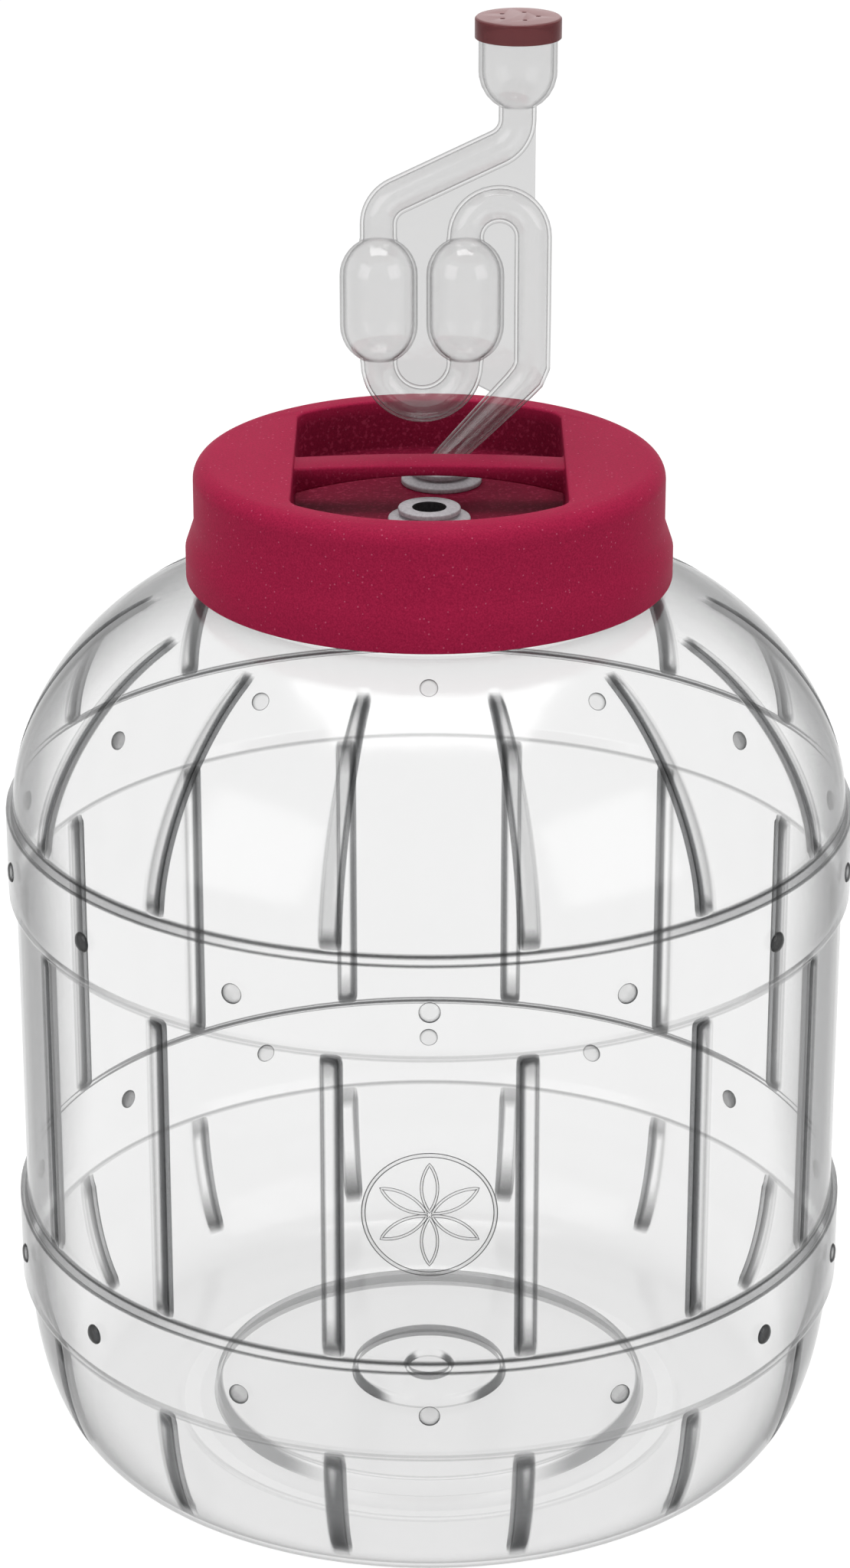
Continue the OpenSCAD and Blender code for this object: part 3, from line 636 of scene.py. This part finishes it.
neckThread = buildThread("neckThread", thread["neckRadius"], thread["neckRidge"], thread["foot"])
dress(neckThread, clearPet)
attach(neckThread, "jar")
print("jar done")


# Pieces that keep the solid's form: how far in mm each one's edges are rounded, from how many degrees
# on an edge is sharp, and below how many two faces are one flat
softEdges = {"lid": 0.7, "gasket": 0.3, "cap": 0.2, "segments": 3, "sharpFrom": 30, "flatBelow": 0.5}


# A merged copy of a solid's mesh, with its flat faces joined and its edges rounded
def softCopy(node, name, width):
    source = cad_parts[node]
    piece = bpy.data.objects.new(name, source.data.copy())
    bpy.context.scene.collection.objects.link(piece)
    editMode(piece)
    bpy.ops.mesh.select_all(action="SELECT")
    bpy.ops.mesh.remove_doubles(threshold=mergeReach)
    bpy.ops.mesh.customdata_custom_splitnormals_clear()
    bpy.ops.mesh.dissolve_limited(angle_limit=math.radians(softEdges["flatBelow"]))
    bpy.ops.object.mode_set(mode="OBJECT")
    rounding = piece.modifiers.new("rounding", "BEVEL")
    rounding.width, rounding.segments = width * mm, softEdges["segments"]
    rounding.angle_limit = math.radians(softEdges["sharpFrom"])
    rounding.use_clamp_overlap = True
    applyAll(piece)
    smooth(piece)
    return piece


# Lid and gasket

lid = softCopy("lid", "lidShell", softEdges["lid"])
dress(lid, crimsonPlastic)
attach(lid, "lid")
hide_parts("lid")
lidThread = buildThread("lidThread", thread["lidRadius"], thread["lidRidge"], thread["foot"] + thread["pitch"] / 2)
dress(lidThread, crimsonPlastic)
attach(lidThread, "lid")

gasket = softCopy("lid_gasket", "lidGasket", softEdges["gasket"])
dress(gasket, sealFoam)
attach(gasket, "gasket")
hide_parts("lid_gasket")
print("lid done")


# Grommets: heights count from the lid's recessed floor, and each spot is (x, y) in mm

grommet = {
    "floor": 269.1, "floorThick": 2.5, "neck": 6.8, "ring": 8.3, "flange": 10.95, "flangeThick": 1.35,
    "top": 4.2, "lip": 3.4, "lipSlope": 1.2, "lipInset": 0.5, "waist": 1, "waistTop": 1.4, "waistFoot": 1.9,
    "boreRows": (2, 3), "boreReach": 0.15, "columns": 64,
    "frontSpot": (0, -12), "frontHole": 4.4, "rearSpot": (3.3, 22), "rearHole": 4.3}


def buildGrommet(name, spot, hole):
    neck, ring, flange, under = grommet["neck"], grommet["ring"], grommet["flange"], -grommet["floorThick"]
    top, foot, waist = grommet["top"], under - grommet["lip"], ring - grommet["waist"]
    above, below = grommet["boreRows"]
    rows = [(hole, foot + above), (hole, foot, 0.2), (neck - grommet["lipInset"], foot, 0.4),
            (ring, under - grommet["lipSlope"], 0.3), (ring, under, 0.2), (neck, under, 0.2),
            (neck, 0, 0.2), (flange, 0, 0.4), (flange, grommet["flangeThick"], 0.5),
            (waist, top - grommet["waistFoot"], 0.3), (waist, top - grommet["waistTop"], 0.2),
            (ring, top - grommet["waistTop"], 0.4), (ring, top, 0.5), (hole, top, 0.6), (hole, top - below),
            (hole, foot + above)]
    profile = [(r, z + grommet["floor"]) for r, z in softened(rows)]
    piece = turnedShell(name, profile, grommet["columns"])
    piece.location.x, piece.location.y = spot[0] * mm, spot[1] * mm
    settle(piece)
    smooth(piece, angle=50)
    dress(piece, greyRubber)
    piece.data.materials.append(boreShadeRubber)
    # faces inside the hole take the rubber painted dark as shade
    for face in piece.data.polygons:
        across = face.center.xy - Vector(spot) * mm
        face.material_index = 1 if across.length < (hole + grommet["boreReach"]) * mm else 0
    return piece


frontGrommet = buildGrommet("frontGrommet", grommet["frontSpot"], grommet["frontHole"])
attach(frontGrommet, "lid")
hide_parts("grommet_front")
rearGrommet = buildGrommet("rearGrommet", grommet["rearSpot"], grommet["rearHole"])
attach(rearGrommet, "rear_grommet")
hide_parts("grommet_rear")
print("grommets done")


# Airlock: a tube that bends in one plane, x across and z up in mm from the corner above its stem

airlock = {
    "portX": 3.3, "portY": 22, "corner": 274.6, "wall": 0.9, "resolution": 10, "boreLonger": 0.5,
    "stem": 4.25, "tip": 3.6, "stemLength": 25, "stemRows": (-14, -10, -3),
    # the sloping tube widens from its heel (x, radius) to the riser, at shares of the way
    "heel": (0.25, 4.1), "slopeTube": 3.6, "slopeWiden": 1.3, "slopeShares": (0.08, 0.16, 0.3, 0.5, 0.7, 0.85),
    "slopeEnd": (0.95, 0.96), "riserX": 24.3, "riserLead": 2, "elbowZ": 25.3, "tube": 5,
    "bulb": 10.5, "bulbHeight": 34.5, "bulbPitch": 23.1, "bulbX": 6.3, "bulbZ": 45.4,
    "bulbAngles": range(30, 91, 10), "bulbStep": 0.2,  # round ends, where they are wider than the tube
    "topBendSteps": 20, "footBendSteps": 22, "bendSteps": 10,
    "legRise": 3.5, "bend": 8.6, "slant": 25.5,
    "cupX": 19.9, "cup": 10.4, "cupHeight": 13.3, "cupNeck": 3.6, "cupAngles": (12, 26, 40), "cupLast": 82,
    # the web between the tubes: its thickness, and how far its corners stand in or out of the tubes' middles
    "web": 1.6, "webInset": 0.2, "webLead": 3, "webTop": 6, "webFoot": 6, "webShare": 0.71}


# The way from the stem's tip to the cup's mouth, as (across, up, radius), and the heights along it
def airlockWay():
    a = airlock
    tube, bulbR = a["tube"], a["bulb"]
    top, foot = a["bulbZ"] + a["bulbHeight"] / 2, a["bulbZ"] - a["bulbHeight"] / 2
    legX = a["bulbX"] - a["bulbPitch"]
    turn = 90 - a["slant"]
    way = [(0, -a["stemLength"], a["tip"])] + [(0, z, a["stem"]) for z in a["stemRows"]]

    def bend(cx, cz, r, start, end, steps):
        for i in range(steps + 1):
            t = math.radians(start + (end - start) * i / steps)
            way.append((cx + r * math.cos(t), cz + r * math.sin(t), tube))

    def bulb(x, upwards):
        angles = [math.radians(t) for t in a["bulbAngles"]]
        low = [(foot + bulbR * (1 - math.cos(t)), bulbR * math.sin(t)) for t in angles]
        low = [(foot, tube)] + [p for p in low if p[1] > tube + a["bulbStep"]]
        high = [(top + foot - z, r) for z, r in reversed(low)]
        run = low + [(a["bulbZ"], bulbR)] + high
        for z, r in (run if upwards else reversed(run)):
            way.append((x, z, r))

    # from the stem over the corner into the sloping tube, and up the riser
    heelX, heelR = a["heel"]
    way.append((heelX, 0.0, heelR))
    for share in a["slopeShares"]:
        way.append((a["riserX"] * share, a["elbowZ"] * share, a["slopeTube"] + a["slopeWiden"] * share))
    shareX, shareZ = a["slopeEnd"]
    way.append((a["riserX"] * shareX, a["elbowZ"] * shareZ, tube))
    way.append((a["riserX"], a["elbowZ"] + a["riserLead"], tube))
    way.append((a["riserX"], (a["elbowZ"] + top) / 2, tube))
    # over the top into the first bulb, below into the second, where a bend's last point is a bulb's first
    topBend = (a["riserX"] - a["bulbX"]) / 2
    bend(a["riserX"] - topBend, top, topBend, 0, 180, a["topBendSteps"])
    way.pop()
    bulb(a["bulbX"], upwards=False)
    way.pop()
    bend(a["bulbX"] - a["bulbPitch"] / 2, foot, a["bulbPitch"] / 2, 0, -180, a["footBendSteps"])
    way.pop()
    bulb(legX, upwards=True)
    # up the leg, along the slanting tube and into the cup
    legTop = top + a["legRise"]
    bend(legX + a["bend"], legTop, a["bend"], 180, 180 - turn, a["bendSteps"])
    slant = math.radians(a["slant"])
    slantLength = (a["cupX"] - legX - 2 * a["bend"] * (1 - math.cos(math.radians(turn)))) / math.cos(slant)
    neckFoot = legTop + 2 * a["bend"] * math.sin(math.radians(turn)) + slantLength * math.sin(slant)
    bend(a["cupX"] - a["bend"], neckFoot, a["bend"], -turn, 0, a["bendSteps"])
    cupFoot = neckFoot + a["cupNeck"] + math.sqrt(a["cup"] ** 2 - tube ** 2)
    start = math.degrees(math.asin(tube / a["cup"]))
    way.append((a["cupX"], neckFoot + a["cupNeck"], tube))
    for t in [math.radians(start + more) for more in a["cupAngles"]] + [math.radians(a["cupLast"])]:
        way.append((a["cupX"], cupFoot - a["cup"] * math.cos(t), a["cup"] * math.sin(t)))
    way.append((a["cupX"], cupFoot, a["cup"]))
    way.append((a["cupX"], cupFoot + a["cupHeight"], a["cup"]))
    return way, {"top": top, "foot": foot, "legX": legX, "legTop": legTop, "neckFoot": neckFoot}


# The airlock's tube or, thinner by shrink and longer at both ends, its bore
def sweptTube(name, way, shrink=0, longer=0):
    points = []
    for i, (x, z, r) in enumerate(way):
        reach = -longer if i == 0 else longer if i == len(way) - 1 else 0
        points.append(((airlock["portX"] + x) * mm, airlock["portY"] * mm,
                       (airlock["corner"] + z + reach) * mm, (r - shrink) * mm))
    piece = tubeAlong(name, points, airlock["resolution"])
    editMode(piece)
    bpy.ops.mesh.select_all(action="SELECT")
    bpy.ops.mesh.remove_doubles(threshold=mergeReach)
    faceOutwards()
    return piece


def buildWeb(at):
    a = airlock
    lead, share, radius = a["webLead"], a["webShare"], a["bulbPitch"] / 2
    right = a["cupX"] + a["tube"] - a["webInset"]
    outline = [(at["legX"], at["foot"]), (at["legX"], at["legTop"] + lead), (a["cupX"], at["neckFoot"] - lead),
               (right, at["neckFoot"] + lead), (right, at["top"] + a["webTop"]), (a["riserX"], at["top"]),
               (a["riserX"], a["elbowZ"]), (a["riserX"] * share, a["elbowZ"] * share),
               (a["bulbX"] + lead, at["foot"] - a["webFoot"]), (a["bulbX"] - radius, at["foot"] - radius)]
    front = (a["portY"] - a["web"] / 2) * mm
    corners = [((a["portX"] + x) * mm, front, (a["corner"] + z) * mm) for x, z in outline]
    web = bpy.data.objects.new("airlockWeb", bpy.data.meshes.new("airlockWeb"))
    web.data.from_pydata(corners, [], [list(range(len(corners)))])
    bpy.context.scene.collection.objects.link(web)
    editMode(web, "FACE")
    bpy.ops.mesh.select_all(action="SELECT")
    bpy.ops.mesh.extrude_region_move(TRANSFORM_OT_translate={"value": (0, a["web"] * mm, 0)})
    faceOutwards()
    return web


def booleanWith(piece, other, operation):
    cut = piece.modifiers.new("cut", "BOOLEAN")
    cut.operation, cut.solver, cut.object = operation, "EXACT", other
    applyAll(piece)
    bpy.data.objects.remove(other)


def buildAirlock():
    way, at = airlockWay()
    piece = sweptTube("airlockTube", way)
    booleanWith(piece, buildWeb(at), "UNION")
    booleanWith(piece, sweptTube("airlockBore", way, airlock["wall"], airlock["boreLonger"]), "DIFFERENCE")
    piece.name = "airlockBody"
    smooth(piece, angle=40)
    return piece


airlockBody = buildAirlock()
dress(airlockBody, clearStyrene)
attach(airlockBody, "airlock")
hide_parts("airlock_front_half", "airlock_rear_half")

cap = softCopy("airlock_cap", "airlockCap", softEdges["cap"])
dress(cap, capPlastic)
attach(cap, "cap")
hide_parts("airlock_cap")
print("airlock done")


# Floor, lamps, world and camera

studio = {
    "floorSize": 12, "fibreSize": 2.5, "paper": (0.79, 0.81),
    "seenShare": 0.34, "glow": 0.88,  # what the camera sees of the paper is mostly its own white
    "world": (0.5, 1.0),  # strength on the object, and where the camera sees it
    # each lamp is (place, size, power), in metres and watts, and all look at one spot
    "aim": (0, 0, 0.2),
    "lamps": {"overhead": ((0.0, 0.15, 1.5), 0.9, 9.5),
              "left": ((-1.1, -0.95, 0.82), 1.05, 4.8),
              "right": ((1.15, -0.9, 0.8), 1.05, 4.8)}}


# Matte studio paper: even and white to the camera, with faint fibres and the object's soft shadow
def buildFloor():
    deselect()
    bpy.ops.mesh.primitive_plane_add(size=studio["floorSize"], location=(0, 0, 0))
    floor = bpy.context.object
    floor.name = "floor"
    paper = newMaterial("studioPaper")
    place = addNode(paper, "ShaderNodeTexCoord").outputs["Object"]
    fibre = addNode(paper, "ShaderNodeTexNoise", {
        "Vector": place, "Scale": 1 / (studio["fibreSize"] * mm), "Detail": 2.0})
    dark, light = studio["paper"]
    tone = addNode(paper, "ShaderNodeMapRange", {"Value": fibre.outputs[0], "To Min": dark, "To Max": light})
    seen = addNode(paper, "ShaderNodeLightPath")
    direct = addNode(paper, "ShaderNodeMath", {
        0: seen.outputs["Is Camera Ray"], 1: seen.outputs["Is Glossy Ray"]}, operation="MAXIMUM")
    shown = addNode(paper, "ShaderNodeMapRange", {
        "Value": direct.outputs[0], "To Min": 1.0, "To Max": studio["seenShare"]})
    pale = addNode(paper, "ShaderNodeMath", {0: tone.outputs[0], 1: shown.outputs[0]}, operation="MULTIPLY")
    matte = addNode(paper, "ShaderNodeBsdfDiffuse", {"Color": pale.outputs[0]})
    lift = addNode(paper, "ShaderNodeMath", {0: direct.outputs[0], 1: studio["glow"]}, operation="MULTIPLY")
    glow = addNode(paper, "ShaderNodeEmission", {"Color": (1, 1, 1, 1), "Strength": lift.outputs[0]})
    both = addNode(paper, "ShaderNodeAddShader", {0: matte.outputs[0], 1: glow.outputs[0]})
    finishMaterial(paper, both.outputs[0])
    dress(floor, paper)


def buildWorld():
    world = bpy.data.worlds.new("studio")
    bpy.context.scene.world = world
    world.use_nodes = True
    world.node_tree.nodes.clear()
    seen = addNode(world, "ShaderNodeLightPath")
    one = addNode(world, "ShaderNodeMath", {
        0: seen.outputs["Is Camera Ray"], 1: seen.outputs["Is Glossy Ray"]}, operation="MAXIMUM")
    two = addNode(world, "ShaderNodeMath", {
        0: one.outputs[0], 1: seen.outputs["Is Transmission Ray"]}, operation="MAXIMUM")
    plain, shown = studio["world"]
    strength = addNode(world, "ShaderNodeMapRange", {"Value": two.outputs[0], "To Min": plain, "To Max": shown})
    sky = addNode(world, "ShaderNodeBackground", {"Color": (1, 1, 1, 1), "Strength": strength.outputs[0]})
    addNode(world, "ShaderNodeOutputWorld", {"Surface": sky.outputs[0]})


def buildLamps():
    for name, (spot, size, power) in studio["lamps"].items():
        lamp = bpy.data.lights.new(name, "AREA")
        lamp.size, lamp.energy = size, power
        holder = bpy.data.objects.new(name, lamp)
        holder.location = spot
        holder.rotation_euler = (Vector(studio["aim"]) - Vector(spot)).to_track_quat("-Z", "Y").to_euler()
        bpy.context.scene.collection.objects.link(holder)


# The photograph's view: the lens and sensor height in mm, the tilt down in degrees, the place in mm
photoView = {"lens": 98.89, "sensor": 36, "tilt": 21.88, "spot": (-1.15, -1094.1, 628.9)}


def buildCamera():
    camera = bpy.data.cameras.new("photoCamera")
    camera.lens, camera.sensor_fit, camera.sensor_height = photoView["lens"], "VERTICAL", photoView["sensor"]
    holder = bpy.data.objects.new("photoCamera", camera)
    holder.location = [v * mm for v in photoView["spot"]]
    holder.rotation_euler = (math.radians(90 - photoView["tilt"]), 0, 0)
    bpy.context.scene.collection.objects.link(holder)
    bpy.context.scene.camera = holder


buildFloor()
buildWorld()
buildLamps()
buildCamera()
bpy.context.scene.view_settings.view_transform = "Standard"
print("studio done")
